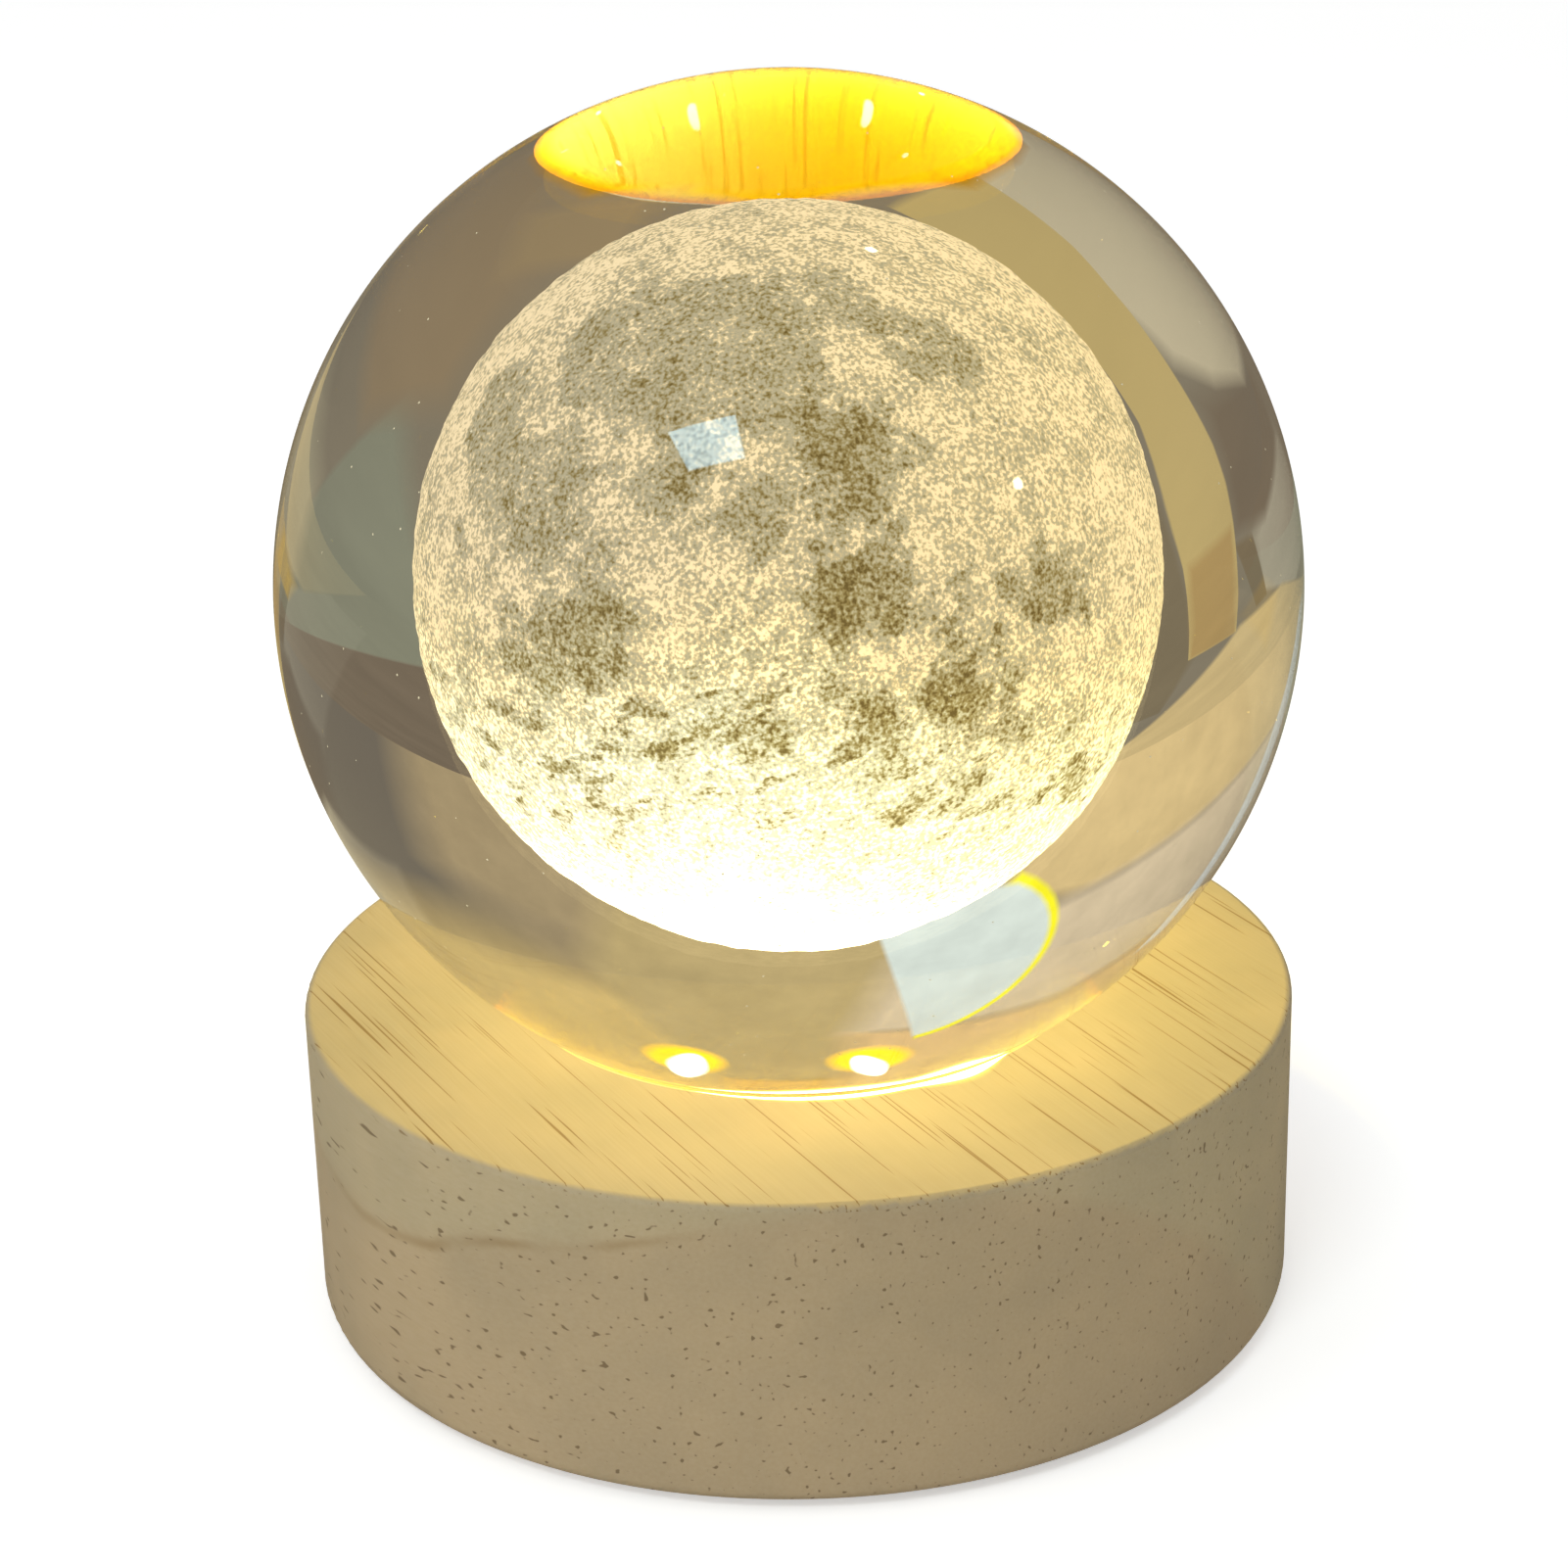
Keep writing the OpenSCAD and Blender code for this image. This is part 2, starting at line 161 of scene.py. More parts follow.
def light_room():
    """An even white world, dimmer as light than as background."""
    world = bpy.data.worlds.new("room")
    scene.world = world
    world.use_nodes = True
    tree = world.node_tree
    tree.nodes.clear()
    strength = put(tree, "MapRange", {"Value": background_rays(tree), "To Min": AMBIENT, "To Max": 1.0})
    air = put(tree, "Background", {"Color": linear("#FFFFFF"), "Strength": strength.outputs[0]})
    put(tree, "OutputWorld", {"Surface": air})


def hidden_light(name, data):
    """An object for a light that neither metal nor glass shows."""
    made = bare_object(name, data)
    made.visible_glossy = False
    made.visible_transmission = False
    return made


def area_light(name, toward, size, radiance, colour):
    """A rectangular light that faces the ball from a direction."""
    data = bpy.data.lights.new(name, "AREA")
    data.shape = "RECTANGLE"
    data.size, data.size_y = size
    data.energy = math.pi * size[0] * size[1] * radiance
    data.color = linear(colour)[:3]
    turn = toward.to_track_quat("Z", "Y").to_matrix()
    at = Matrix.Translation(BALL_AT + toward * LIGHT_DISTANCE)
    hidden_light(name, data).matrix_world = at @ turn.to_4x4()


def glow_light():
    """The warm light that the lit ball sheds on the base's top."""
    data = bpy.data.lights.new("glow_light", "POINT")
    data.energy = GLOW_POWER
    data.color = linear("#FFE642")[:3]
    data.shadow_soft_size = GLOW_R
    hidden_light("glow_light", data).location = GLOW_AT


light_room()
area_light("key_light", KEY_TOWARD, KEY_SIZE, KEY_RADIANCE, "#E6F2F6")
area_light("side_light", SIDE_TOWARD, SIDE_SIZE, SIDE_RADIANCE, "#FFFFFF")
glow_light()


# Floor and the cards that only the glass shows: cards in the air lie on a sphere, the others on the
# floor, and each is a layer nearer than the one before it
FLOOR_R = 6.0
PAPER_GLOW = 0.46
TENT_R = 0.95
CARD_R = 0.93
SKY_LAYER = 4 * MM
GROUND_CARD_Z = 0.2 * MM
GROUND_LAYER = 0.04 * MM
CARD_CUTS = 7

# Brush strokes for each metre of a card, in X, Y and Z
STROKES = (14, 5, 14)


def pale_floor():
    """A pale, matt floor. A little of its own light makes it read as white."""
    made, tree = blank("matt_white_paper")
    strength = put(tree, "Math", {0: background_rays(tree), 1: PAPER_GLOW}, operation="MULTIPLY")
    paper = put(tree, "BsdfPrincipled", {"Base Color": linear("#F6F6F6"), "Roughness": 0.9,
                                         "Emission Color": linear("#FFFFFF"),
                                         "Emission Strength": strength})
    put(tree, "OutputMaterial", {"Surface": paper})
    return made


def card_material(name, colour, gain=1.0):
    """Studio card with matt paint and a light of its own: a little uneven, faded out at its edge."""
    made, tree = blank(name + "_painted_matt")
    place = put(tree, "TexCoord").outputs["Object"]
    brushed = put(tree, "Mapping", {"Vector": place, "Scale": STROKES})
    paint = put(tree, "TexNoise", {"Vector": brushed, "Scale": 1.0, "Detail": 5.0, "Roughness": 0.6})
    shade = put(tree, "MapRange", {"Value": paint.outputs["Fac"], "From Min": 0.25, "From Max": 0.75,
                                   "To Min": 0.96 * gain, "To Max": 1.2 * gain})
    lit = put(tree, "Emission", {"Color": linear(colour), "Strength": shade.outputs[0]})
    cover = put(tree, "Attribute", attribute_name="cover")
    edge = put(tree, "MixShader", {0: cover.outputs["Fac"], 1: put(tree, "BsdfTransparent"), 2: lit})
    put(tree, "OutputMaterial", {"Surface": edge})
    return made


def tent_material():
    """Woven tent cloth, evenly lit, and dark overhead, so that the ball's top mirrors little."""
    made, tree = blank("tent_cloth_woven")
    place = put(tree, "TexCoord").outputs["Object"]
    parts = put(tree, "SeparateXYZ", {"Vector": place})
    height = put(tree, "Math", {0: parts.outputs["Z"], 1: TENT_R}, operation="DIVIDE")
    cloth = put(tree, "ValToRGB", {"Fac": height},
                stops=[(0.0, linear("#6E665A")), (0.3, linear("#746C5E")), (0.6, linear("#5E5340")),
                       (1.0, linear("#4A4130"))])
    lit = put(tree, "Emission", {"Color": cloth})
    put(tree, "OutputMaterial", {"Surface": lit})
    return made


def as_card(piece):
    """Only glass shows a card: it lights nothing and throws no shadow."""
    piece.visible_camera = False
    piece.visible_diffuse = False
    piece.visible_shadow = False
    return piece


def card(name, outline, edge, colour, place, gain=1.0):
    """A card with an outline of flat corners, which place() takes to points in space, and an edge of
    this width over which it fades."""
    middle = Vector((sum(x for x, y in outline), sum(y for x, y in outline))) / len(outline)
    form = bmesh.new()
    centre = form.verts.new((*middle, 1))
    inner = []
    outer = []
    for corner in outline:
        arm = Vector(corner) - middle
        half = arm.normalized() * edge / 2
        inner.append(form.verts.new((*(middle + arm - half), 1)))
        outer.append(form.verts.new((*(middle + arm + half), 0)))
    for i in range(len(outline)):
        form.faces.new((centre, inner[i - 1], inner[i]))
        form.faces.new((inner[i - 1], outer[i - 1], outer[i], inner[i]))
    bmesh.ops.subdivide_edges(form, edges=form.edges, cuts=CARD_CUTS, use_grid_fill=True)
    covers = [corner.co.z for corner in form.verts]
    for corner in form.verts:
        corner.co = place(corner.co.x, corner.co.y)
    mesh = bpy.data.meshes.new(name)
    form.to_mesh(mesh)
    form.free()
    mesh.attributes.new("cover", "FLOAT", "POINT").data.foreach_set("value", covers)
    mesh.materials.append(card_material(name, colour, gain))
    return as_card(bare_object(name, mesh))


def arc(centre, reach, start, end, count, lean=0.0):
    """Points of a part of an ellipse between two angles in degrees, leaned over sideways."""
    points = []
    for i in range(count + 1):
        angle = math.radians(start + (end - start) * i / count)
        rise = reach[1] * math.sin(angle)
        points.append((centre[0] + reach[0] * math.cos(angle) + lean * rise, centre[1] + rise))
    return points


def sky(layer):
    """Takes an azimuth and an elevation, in degrees, to a sphere round the ball. Azimuth 0 is behind
    the lamp, and right is positive."""
    def point(azimuth, elevation):
        turn = math.radians(azimuth)
        rise = math.radians(elevation)
        toward = Vector((math.cos(rise) * math.sin(turn), math.cos(rise) * math.cos(turn), math.sin(rise)))
        return BALL_AT + (CARD_R - layer * SKY_LAYER) * toward
    return point


def ground(layer):
    """Takes millimetres on the floor to a height just over it."""
    def point(x, y):
        return Vector((x * MM, y * MM, GROUND_CARD_Z + layer * GROUND_LAYER))
    return point


def before_ball(x, y):
    """Takes metres right and up, as the viewer sees them, to the window before the ball."""
    return BALL_AT + KEY_TOWARD * WINDOW_DISTANCE + view_right * x + view_up * y


def lay_floor():
    """A floor so wide that its end doesn't show."""
    corners = [(-FLOOR_R, -FLOOR_R, 0), (FLOOR_R, -FLOOR_R, 0), (FLOOR_R, FLOOR_R, 0),
               (-FLOOR_R, FLOOR_R, 0)]
    mesh = bpy.data.meshes.new("floor")
    mesh.from_pydata(corners, [], [(0, 1, 2, 3)])
    mesh.materials.append(pale_floor())
    bare_object("floor", mesh)


def stand_tent():
    """The tent stands round everything that the glass can show."""
    mesh = bpy.data.meshes.new("tent")
    form = bmesh.new()
    bmesh.ops.create_uvsphere(form, u_segments=96, v_segments=48, radius=TENT_R)
    bmesh.ops.translate(form, verts=form.verts, vec=BALL_AT)
    form.to_mesh(mesh)
    form.free()
    mesh.materials.append(tent_material())
    as_card(bare_object("tent", mesh))


lay_floor()
stand_tent()

# Name, corners as azimuth and elevation, width of the edge, colour, gain
SKY_CARDS = [
    ("card_right_gold", [(2, 15), (28, 15), (66, 24), (60, 55), (2, 55)], 14, "#CDB272", 1.05),
    ("card_right_dusk", [(12, -2), (34, -12), (34, 8), (20, 13), (12, 12)], 10, "#A5926E", 1.0),
    ("card_middle_brown", [(-10, 4), (14, 4), (18, 14), (9, 41), (-5, 41)], 5, "#B8A370", 1.05),
    ("card_middle_orange", [(-9, 41), (10, 41), (12, 52), (-12, 52)], 4, "#DDAE5C", 1.1),
    ("card_left_low", [(-90, -9), (-24, -9), (-14, 6), (-24, 9), (-90, 6)], 4, "#D3B982", 1.1),
    ("card_left_mid", [(-90, 6), (-24, 9), (-8, 11), (-5, 24), (-30, 30), (-90, 24)], 5, "#D4C19F", 1.08),
    ("card_left_high", [(-70, 26), (-30, 30), (-5, 24), (-6, 52), (-70, 52)], 6, "#DDB982", 1.08),
    ("card_left_rim", [(-72, -2), (-62, 8), (-53, 22), (-46, 31), (-52, 31), (-66, 14), (-80, -2)], 2,
     "#EDF1EA", 1.0),
    ("card_lamp_halo_left", arc((-8.2, 33.6), (4.6, 4.6), 0, 345, 23, -0.3), 2, "#FFC800", 1.9),
    ("card_lamp_halo_right", arc((13.8, 34.6), (4.8, 5.2), 0, 345, 23, 0.3), 2, "#FFC800", 1.9),
    ("card_lamp_left", arc((-8.6, 36.6), (1.7, 5.0), 0, 345, 23, -0.4), 1.6, "#FFFFE8", 6.0),
    ("card_lamp_right", arc((14.3, 37.6), (2.1, 5.8), 0, 345, 23, 0.4), 2, "#FFFFE8", 6.0),
    ("card_window_fringe", arc((-10, 15), (12.9, 13.4), 99, 238, 16) + [(-9, 10)], 0.8, "#F4EC20", 1.15),
    ("card_window", arc((-10, 15), (12, 12.4), 98, 236, 16) + [(-4.6, 2.5)], 0.8, "#DDE8DE", 1.0),
]
for step, (name, outline, edge, colour, gain) in enumerate(SKY_CARDS):
    card(name, outline, edge, colour, sky(step), gain).visible_glossy = False

# Name, corners in millimetres, width of the edge, colour
GROUND_CARDS = [
    ("card_ground", [(-960, -960), (960, -960), (960, 960), (-960, 960)], 10, "#7F7663"),
    ("card_ground_far_right", [(80, 236), (900, 236), (900, 900), (150, 900)], 6, "#716453"),
    ("card_ground_grey_right", [(44, 100), (82, 235), (420, 235), (420, 120), (110, 104)], 10, "#82836F"),
    ("card_ground_pale_right", [(70, 45), (95, 100), (190, 140), (420, 140), (300, 60)], 24, "#A39C80"),
    ("card_ground_gold_right", [(180, 92), (215, 150), (300, 170), (300, 92)], 30, "#C8A95A"),
    ("card_ground_brown_right", [(18, 40), (46, 40), (58, 95), (36, 108), (16, 90)], 14, "#8C7A5E"),
    ("card_ground_grey_left", [(-112, 60), (-420, 60), (-420, 180), (-190, 190), (-122, 140)], 16,
     "#A8A08A"),
    ("card_ground_streak_left", [(-105, 148), (-118, 138), (-215, 196), (-205, 212)], 8, "#75674E"),
    ("card_ground_brown_left", [(-56, 98), (-82, 55), (-118, 62), (-125, 122), (-100, 140)], 16,
     "#716350"),
    ("card_ground_dark_left", [(-30, 108), (-92, 182), (-150, 252), (-220, 420), (-120, 420), (-70, 180)],
     10, "#776B53"),
    ("card_ground_gold_left", [(-196, 236), (-262, 184), (-900, 180), (-900, 900), (-330, 900)], 16,
     "#CBB37E"),
    ("card_ground_pale_left", [(-10, 42), (-44, 12), (-76, 12), (-76, 70), (-60, 86), (-46, 92), (-28, 88),
                               (-12, 78)], 7, "#BFB394"),
    ("card_ground_stripe", [(-15, 71), (-26, 79), (-31, 84), (-40, 91), (-47, 96), (-56, 102), (-65, 108),
                            (-78, 119), (-94, 135), (-116, 158), (-143, 186), (-197, 245), (-153, 269),
                            (-120, 221), (-94, 185), (-79, 165), (-64, 147), (-57, 138), (-50, 128),
                            (-41, 115), (-32, 106), (-22, 98), (-8, 86)], 1.2, "#BAA46B"),
    ("card_ground_stripe_far", [(-94, 138), (-116, 161), (-143, 189), (-195, 246), (-153, 266), (-120, 218),
                                (-94, 182), (-82, 164)], 9, "#AC8F59"),
    ("card_ground_amber", [(-20, 38), (20, 38), (22, 50), (20, 60), (15, 75), (0, 88), (-15, 75), (-20, 60),
                           (-22, 50)], 2, "#B38000"),
    ("card_ground_tan", [(8, 81), (21, 73), (24, 85), (12, 94)], 6, "#94805E"),
]
for step, (name, outline, edge, colour) in enumerate(GROUND_CARDS):
    card(name, outline, edge, colour, ground(step))

# The window that only the ball's front mirrors, in metres. It is bright, as glass mirrors little of it
WINDOW = [(-0.142, 0.072), (0.062, 0.101), (0.099, -0.047), (-0.057, -0.07)]
WINDOW_EDGE = 0.008
WINDOW_DISTANCE = 0.8
WINDOW_GAIN = 9.0
mirrored_window = card("card_mirrored_window", WINDOW, WINDOW_EDGE, "#A6E1FF", before_ball, WINDOW_GAIN)
mirrored_window.visible_transmission = False


# Wood. The pores are as wide as real ones and longer, and the fibres are drawn coarser so that they show
FIBRE_ANGLE = math.atan2(-0.88, 0.47)
PITH_ACROSS = -14 * MM
PITH_Z = -17.9 * MM
RING_R = 44.4 * MM
RING_WANDER = 3 * MM
RING_HALF_W = 0.65 * MM
GROOVE_L = 22 * MM
GROOVE_W = 0.22 * MM
PIT_L = 3 * MM
PIT_W = 0.4 * MM
PORE_DARKNESS = 0.7
THREAD_L = 14 * MM
THREAD_W = 0.3 * MM
CROWD = 7 * MM
PATCH = 14 * MM

# Where the LEDs' beams strike the recess's wall, in millimetres, with the size of the spot
WALL_SPOTS = [((7.5, -19.5, 21.4), 0.65), ((-8.0, -19.3, 21.5), 0.65),
              ((14.2, -15.3, 24.1), 0.4), ((-11.6, -17.4, 23.5), 0.4)]
SPOT_FLATNESS = 2.6

# Brightness of the recess seen as it is, and seen through the glass, which gathers its light
RECESS_GLOW = 0.8
RECESS_GLOW_IN_GLASS = 11.0

# Angles on the mouth, in degrees, where the bright line under the ball is broader: middle, spread, breadth
MOUTH_SWELLS = ((-80, 42, 1.1 * MM), (-56, 14, 1.5 * MM))
MOUTH_GLOW = 5.0


def marks_of(length, width):
    """Scale of a pattern whose marks have this length along the fibre and this width across it."""
    return (1 / length, 1 / width, 1 / width)


def wood_colour(tree, place):
    """Pale beech with short pores along the fibre. Returns colour, pores and fine streaks."""
    fibre = put(tree, "Mapping", {"Vector": place, "Rotation": (0, 0, -FIBRE_ANGLE)})

    # Growth rings lie round a pith line that is parallel to the fibre. One of them shows
    wander = put(tree, "TexNoise", {"Vector": fibre, "Scale": 1 / (16 * MM), "Detail": 3.0})
    parts = put(tree, "SeparateXYZ", {"Vector": fibre})
    across = put(tree, "Math", {0: parts.outputs["Y"], 1: PITH_ACROSS}, operation="SUBTRACT")
    upward = put(tree, "Math", {0: parts.outputs["Z"], 1: PITH_Z}, operation="SUBTRACT")
    from_pith = put(tree, "CombineXYZ", {"X": across, "Y": upward})
    reach = put(tree, "VectorMath", {0: from_pith}, operation="LENGTH")
    bent = put(tree, "Math", {0: wander.outputs["Fac"], 1: RING_WANDER, 2: reach.outputs["Value"]},
               operation="MULTIPLY_ADD")
    past_ring = put(tree, "Math", {0: bent, 1: RING_R}, operation="SUBTRACT")
    outer_wood = put(tree, "MapRange", {"Value": past_ring, "From Min": -0.8 * MM, "From Max": 1.6 * MM},
                     interpolation_type="SMOOTHSTEP")
    off_ring = put(tree, "Math", {0: past_ring}, operation="ABSOLUTE")
    ring_line = put(tree, "MapRange", {"Value": off_ring, "From Min": RING_HALF_W, "From Max": 0.0,
                                       "To Max": 0.9}, interpolation_type="SMOOTHSTEP")
    left_part = put(tree, "MapRange", {"Value": parts.outputs["Y"], "From Min": -22 * MM,
                                       "From Max": -32 * MM})
    ring_line = put(tree, "Math", {0: ring_line, 1: left_part}, operation="MULTIPLY")

    # Pores: cut lengthwise on the top, they are long grooves in loose crowds
    stretched = put(tree, "Mapping", {"Vector": fibre, "Scale": marks_of(GROOVE_L, GROOVE_W)})
    pore_noise = put(tree, "TexNoise", {"Vector": stretched, "Scale": 1.0, "Detail": 0.0})
    crowd = put(tree, "TexNoise", {"Vector": fibre, "Scale": 1 / CROWD, "Detail": 1.0})
    crowded = put(tree, "Math", {0: crowd.outputs["Fac"], 1: 0.16, 2: pore_noise.outputs["Fac"]},
                  operation="MULTIPLY_ADD")
    grooves = put(tree, "MapRange", {"Value": crowded, "From Min": 0.785, "From Max": 0.84},
                  interpolation_type="SMOOTHSTEP")

    # Cut across on the side, they are dots
    ends = put(tree, "Mapping", {"Vector": fibre, "Scale": marks_of(PIT_L, PIT_W)})
    end_noise = put(tree, "TexNoise", {"Vector": ends, "Scale": 1.0, "Detail": 0.0})
    end_crowded = put(tree, "Math", {0: crowd.outputs["Fac"], 1: 0.16, 2: end_noise.outputs["Fac"]},
                      operation="MULTIPLY_ADD")
    pits = put(tree, "MapRange", {"Value": end_crowded, "From Min": 0.81, "From Max": 0.90},
               interpolation_type="SMOOTHSTEP")

    # The ring line shows on the side
    facing = put(tree, "SeparateXYZ", {"Vector": put(tree, "NewGeometry").outputs["Normal"]})
    on_side = put(tree, "MapRange", {"Value": facing.outputs["Z"], "From Min": 0.5, "From Max": 0.1})
    open_pores = put(tree, "MixRGB", {"Fac": on_side, "Color1": grooves, "Color2": pits})
    pores = put(tree, "Math", {0: open_pores, 1: PORE_DARKNESS}, operation="MULTIPLY")
    broken = put(tree, "MapRange", {"Value": crowd.outputs["Fac"], "From Min": 0.35, "From Max": 0.65,
                                    "To Min": 0.15, "To Max": 0.7})
    ring_shows = put(tree, "Math", {0: broken, 1: on_side}, operation="MULTIPLY")
    ring_line = put(tree, "Math", {0: ring_line, 1: ring_shows}, operation="MULTIPLY")

    # Fibres: streaks that barely show
    threads = put(tree, "Mapping", {"Vector": fibre, "Scale": marks_of(THREAD_L, THREAD_W)})
    thread_noise = put(tree, "TexNoise", {"Vector": threads, "Scale": 1.0, "Detail": 3.0})
    patches = put(tree, "TexNoise", {"Vector": fibre, "Scale": 1 / PATCH, "Detail": 3.0})

    tone = put(tree, "MixRGB", {"Fac": outer_wood, "Color1": linear("#BAA685"),
                                "Color2": linear("#BCAC8B")})
    ringed = put(tree, "MixRGB", {"Fac": ring_line, "Color1": tone, "Color2": linear("#9C8257")})
    mottled = put(tree, "ValToRGB", {"Fac": patches.outputs["Fac"]},
                  stops=[(0.35, linear("#EFEFEC")), (0.65, linear("#FFFCF6"))])
    warmed = put(tree, "MixRGB", {"Fac": 1.0, "Color1": ringed, "Color2": mottled}, blend_type="MULTIPLY")
    streaks = put(tree, "ValToRGB", {"Fac": thread_noise.outputs["Fac"]},
                  stops=[(0.3, linear("#F9F7F2")), (0.7, linear("#FFFFFF"))])
    sanded = put(tree, "MixRGB", {"Fac": 1.0, "Color1": warmed, "Color2": streaks}, blend_type="MULTIPLY")
    pore_colour = put(tree, "MixRGB", {"Fac": on_side, "Color1": linear("#7A5810"),
                                       "Color2": linear("#614A29")})
    colour = put(tree, "MixRGB", {"Fac": pores, "Color1": sanded, "Color2": pore_colour})

    # Through the glass, the top round the seat is steeped in the LEDs' yellow light
    through_glass = put(tree, "LightPath").outputs["Is Transmission Ray"]
    on_top = put(tree, "Math", {0: 1.0, 1: on_side}, operation="SUBTRACT")
    steeped = put(tree, "Math", {0: through_glass, 1: on_top}, operation="MULTIPLY")
    colour = put(tree, "MixRGB", {"Fac": steeped, "Color1": colour, "Color2": linear("#BC9600")})
    return colour, pores, thread_noise.outputs["Fac"]


def seat_light(tree, place):
    """Light that the LEDs leave on the seat's wall and mouth, as colour and strength. Through the
    glass the wall is far brighter, as the ball gathers its light towards the viewer."""
    spot = put(tree, "SeparateXYZ", {"Vector": place})
    flat_spot = put(tree, "CombineXYZ", {"X": spot.outputs["X"], "Y": spot.outputs["Y"]})
    radius = put(tree, "VectorMath", {0: flat_spot}, operation="LENGTH").outputs["Value"]
    in_mouth = put(tree, "MapRange", {"Value": radius, "From Min": SEAT_R + 0.15 * MM,
                                      "From Max": SEAT_R + 0.05 * MM})
    over_floor = put(tree, "Math", {0: spot.outputs["Z"], 1: CAVITY_TOP}, operation="GREATER_THAN")
    in_recess = put(tree, "Math", {0: in_mouth, 1: over_floor}, operation="MULTIPLY")

    # The wall: amber at the left and the front, paler at the right, and orange at its upper edge
    side = put(tree, "MapRange", {"Value": spot.outputs["X"], "From Min": -18 * MM, "From Max": 18 * MM})
    wall = put(tree, "ValToRGB", {"Fac": side},
               stops=[(0.0, (0.98, 0.58, 0.0, 1)), (0.35, (0.97, 0.55, 0.0, 1)),
                      (0.55, (0.96, 0.58, 0.02, 1)), (0.75, (0.98, 0.68, 0.06, 1)),
                      (1.0, (1.0, 0.78, 0.09, 1))])
    depth = put(tree, "MapRange", {"Value": spot.outputs["Z"], "From Min": BASE_HIGH.z - 0.9 * MM,
                                   "From Max": BASE_HIGH.z - 0.1 * MM})
    brink = put(tree, "ValToRGB", {"Fac": depth},
                stops=[(0.0, (1, 1, 1, 1)), (0.45, (1, 0.94, 0.3, 1)), (0.75, (0.97, 0.70, 0.0, 1)),
                       (1.0, (0.8, 0.36, 0.0, 1))])
    streaked = put(tree, "Mapping", {"Vector": place, "Scale": (1 / (0.6 * MM), 1 / (0.6 * MM),
                                                                1 / (7 * MM))})
    streak = put(tree, "TexNoise", {"Vector": streaked, "Scale": 1.0, "Detail": 3.0})
    grain = put(tree, "ValToRGB", {"Fac": streak.outputs["Fac"]},
                stops=[(0.34, (0.76, 0.62, 0.3, 1)), (0.43, (1, 1, 1, 1))])
    shaded = put(tree, "MixRGB", {"Fac": 1.0, "Color1": wall, "Color2": brink}, blend_type="MULTIPLY")
    grained = put(tree, "MixRGB", {"Fac": 1.0, "Color1": shaded, "Color2": grain}, blend_type="MULTIPLY")
    spots = 0.0
    flat = Vector((1, 1, SPOT_FLATNESS))
    flattened = put(tree, "VectorMath", {0: place, 1: flat}, operation="MULTIPLY")
    for at, size in WALL_SPOTS:
        apart = put(tree, "VectorMath", {0: flattened, 1: Vector(at) * flat * MM}, operation="DISTANCE")
        lit = put(tree, "MapRange", {"Value": apart.outputs["Value"], "From Min": size * MM,
                                     "From Max": 0.35 * size * MM}, interpolation_type="SMOOTHSTEP")
        spots = put(tree, "Math", {0: spots, 1: lit}, operation="MAXIMUM")
    spotted = put(tree, "MixRGB", {"Fac": spots, "Color1": grained, "Color2": (1.6, 1.5, 0.9, 1)})
    through_glass = put(tree, "LightPath").outputs["Is Transmission Ray"]
    gain = put(tree, "MapRange", {"Value": through_glass, "To Min": RECESS_GLOW,
                                  "To Max": RECESS_GLOW_IN_GLASS})
    recess = put(tree, "Math", {0: in_recess, 1: gain}, operation="MULTIPLY")

    # The mouth: a white-hot line under the ball's foot, with a wedge at the front right
    angle = put(tree, "Math", {0: spot.outputs["Y"], 1: spot.outputs["X"]}, operation="ARCTAN2")
    breadth = 0.02 * MM
    for middle, spread, extra in MOUTH_SWELLS:
        turned = put(tree, "Math", {0: angle, 1: math.radians(middle)}, operation="SUBTRACT")
        off = put(tree, "Math", {0: turned}, operation="ABSOLUTE")
        swell = put(tree, "MapRange", {"Value": off, "From Min": math.radians(spread), "From Max": 0.0,
                                       "To Max": extra}, interpolation_type="SMOOTHSTEP")
        breadth = put(tree, "Math", {0: breadth, 1: swell}, operation="ADD")
    past_mouth = put(tree, "Math", {0: radius, 1: SEAT_R}, operation="SUBTRACT")
    share = put(tree, "Math", {0: past_mouth, 1: breadth}, operation="DIVIDE")
    rim = put(tree, "ValToRGB", {"Fac": share},
              stops=[(0.0, (1, 1, 1, 1)), (0.5, (1, 0.85, 0.4, 1)), (0.62, (0.5, 0.3, 0.01, 1)),
                     (0.75, (0.10, 0.045, 0, 1)), (1.0, (0, 0, 0, 1))])
    thin_line = put(tree, "MapRange", {"Value": past_mouth, "From Min": 0.3 * MM, "From Max": 0.1 * MM})
    thin = put(tree, "MixRGB", {"Fac": thin_line, "Color1": (0, 0, 0, 1),
                                "Color2": (0.21, 0.13, 0.012, 1)})
    rim = put(tree, "MixRGB", {"Fac": 1.0, "Color1": rim, "Color2": thin}, blend_type="LIGHTEN")
    outside = put(tree, "Math", {0: in_mouth, 1: 0.5}, operation="LESS_THAN")
    on_top = put(tree, "Math", {0: spot.outputs["Z"], 1: BASE_HIGH.z - 0.5 * MM}, operation="GREATER_THAN")
    leak = put(tree, "Math", {0: outside, 1: on_top}, operation="MULTIPLY")
    colour = put(tree, "MixRGB", {"Fac": leak, "Color1": spotted, "Color2": rim})
    strength = put(tree, "Math", {0: leak, 1: MOUTH_GLOW, 2: recess}, operation="MULTIPLY_ADD")
    return colour, strength


